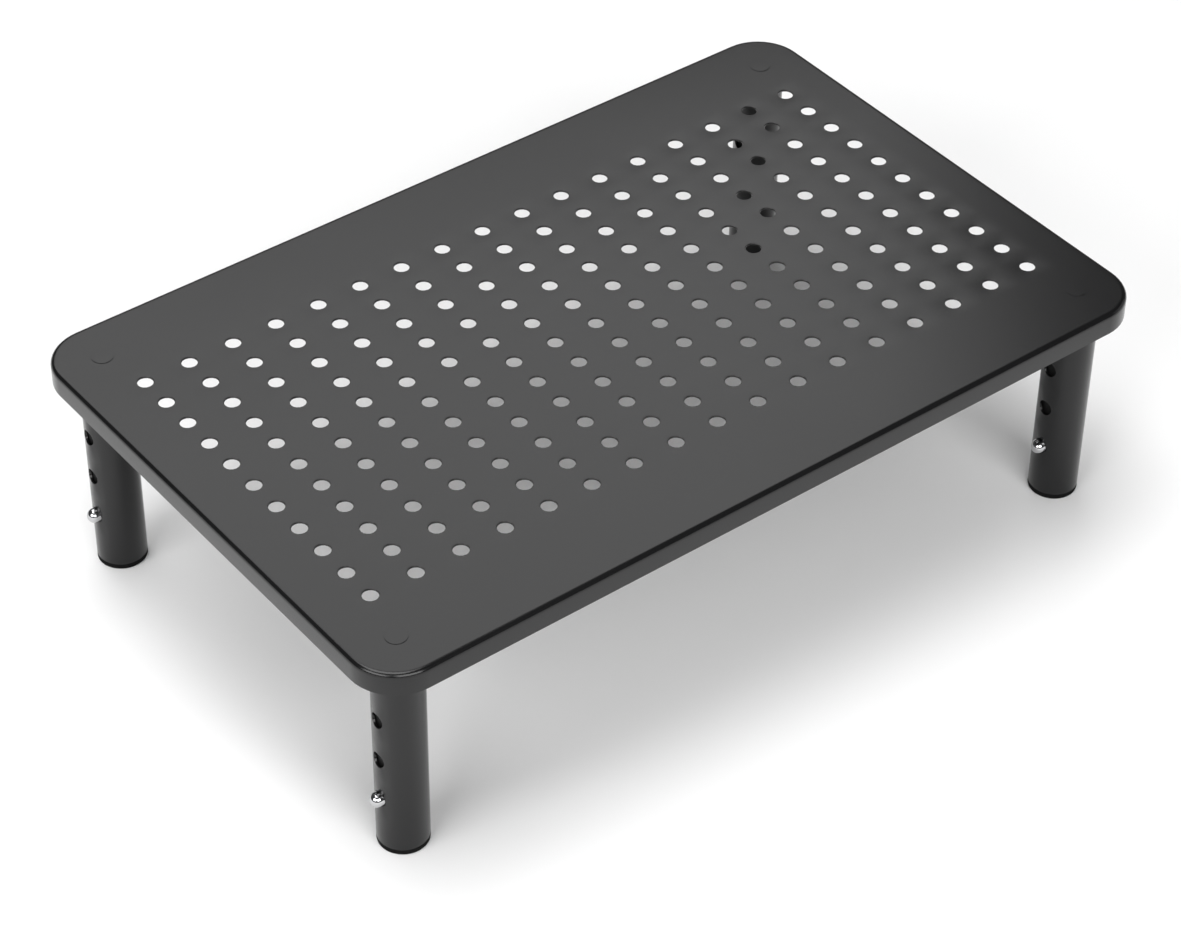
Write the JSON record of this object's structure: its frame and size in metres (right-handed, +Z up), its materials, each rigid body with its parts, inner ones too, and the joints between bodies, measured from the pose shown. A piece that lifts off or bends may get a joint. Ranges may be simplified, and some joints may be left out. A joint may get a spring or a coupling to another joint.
{
  "type": "monitor riser stand",
  "caption": "Low rectangular perforated steel platform with a turned-down skirt on four round telescopic legs with snap-button height setting.",
  "frame": {"origin": "on the floor under the middle of the platform", "axes": "+X along the long side, +Y to the rear, +Z up; the buttons face -X"},
  "size_m": [0.37, 0.236, 0.1022],
  "materials": {
    "powder_coat": "satin dark grey powder coat with a very fine texture",
    "button_chrome": "bright plated",
    "spring_steel": "blued spring steel strip",
    "zinc_steel": "zinc plated",
    "foot_rubber": "matt black moulded rubber"
  },
  "bodies": {
    "platform": {"platform": "powder_coat", "mounting_stud_front_left": "powder_coat", "threaded_plug_front_left": "zinc_steel", "inner_post_front_left": "powder_coat", "spring_clip_front_left": "spring_steel", "mounting_stud_front_right": "powder_coat", "threaded_plug_front_right": "zinc_steel", "inner_post_front_right": "powder_coat", "spring_clip_front_right": "spring_steel", "mounting_stud_rear_left": "powder_coat", "threaded_plug_rear_left": "zinc_steel", "inner_post_rear_left": "powder_coat", "spring_clip_rear_left": "spring_steel", "mounting_stud_rear_right": "powder_coat", "threaded_plug_rear_right": "zinc_steel", "inner_post_rear_right": "powder_coat", "spring_clip_rear_right": "spring_steel"},
    "leg_front_left": {"outer_leg_front_left": "powder_coat", "rubber_foot_front_left": "foot_rubber"},
    "leg_front_right": {"outer_leg_front_right": "powder_coat", "rubber_foot_front_right": "foot_rubber"},
    "leg_rear_left": {"outer_leg_rear_left": "powder_coat", "rubber_foot_rear_left": "foot_rubber"},
    "leg_rear_right": {"outer_leg_rear_right": "powder_coat", "rubber_foot_rear_right": "foot_rubber"},
    "button_front_left": {"snap_button_front_left": "button_chrome"},
    "button_front_right": {"snap_button_front_right": "button_chrome"},
    "button_rear_left": {"snap_button_rear_left": "button_chrome"},
    "button_rear_right": {"snap_button_rear_right": "button_chrome"}
  },
  "joints": [
    {"name": "leg_slide_front_left", "type": "slide", "parent": "platform", "child": "leg_front_left", "axis": [0, 0, -1], "range_m": [0, 0.04], "deforming": ["snap_button_front_left", "spring_clip_front_left"]},
    {"name": "leg_slide_front_right", "type": "slide", "parent": "platform", "child": "leg_front_right", "axis": [0, 0, -1], "range_m": [0, 0.04], "deforming": ["snap_button_front_right", "spring_clip_front_right"]},
    {"name": "leg_slide_rear_left", "type": "slide", "parent": "platform", "child": "leg_rear_left", "axis": [0, 0, -1], "range_m": [0, 0.04], "deforming": ["snap_button_rear_left", "spring_clip_rear_left"]},
    {"name": "leg_slide_rear_right", "type": "slide", "parent": "platform", "child": "leg_rear_right", "axis": [0, 0, -1], "range_m": [0, 0.04], "deforming": ["snap_button_rear_right", "spring_clip_rear_right"]},
    {"name": "button_press_front_left", "type": "slide", "parent": "platform", "child": "button_front_left", "axis": [1, 0, 0], "range_m": [0, 0.0053], "stiffness_N_per_m": 1000, "springref_m": -0.002, "deforming": ["spring_clip_front_left"]},
    {"name": "button_press_front_right", "type": "slide", "parent": "platform", "child": "button_front_right", "axis": [1, 0, 0], "range_m": [0, 0.0053], "stiffness_N_per_m": 1000, "springref_m": -0.002, "deforming": ["spring_clip_front_right"]},
    {"name": "button_press_rear_left", "type": "slide", "parent": "platform", "child": "button_rear_left", "axis": [1, 0, 0], "range_m": [0, 0.0053], "stiffness_N_per_m": 1000, "springref_m": -0.002, "deforming": ["spring_clip_rear_left"]},
    {"name": "button_press_rear_right", "type": "slide", "parent": "platform", "child": "button_rear_right", "axis": [1, 0, 0], "range_m": [0, 0.0053], "stiffness_N_per_m": 1000, "springref_m": -0.002, "deforming": ["spring_clip_rear_right"]}
  ]
}
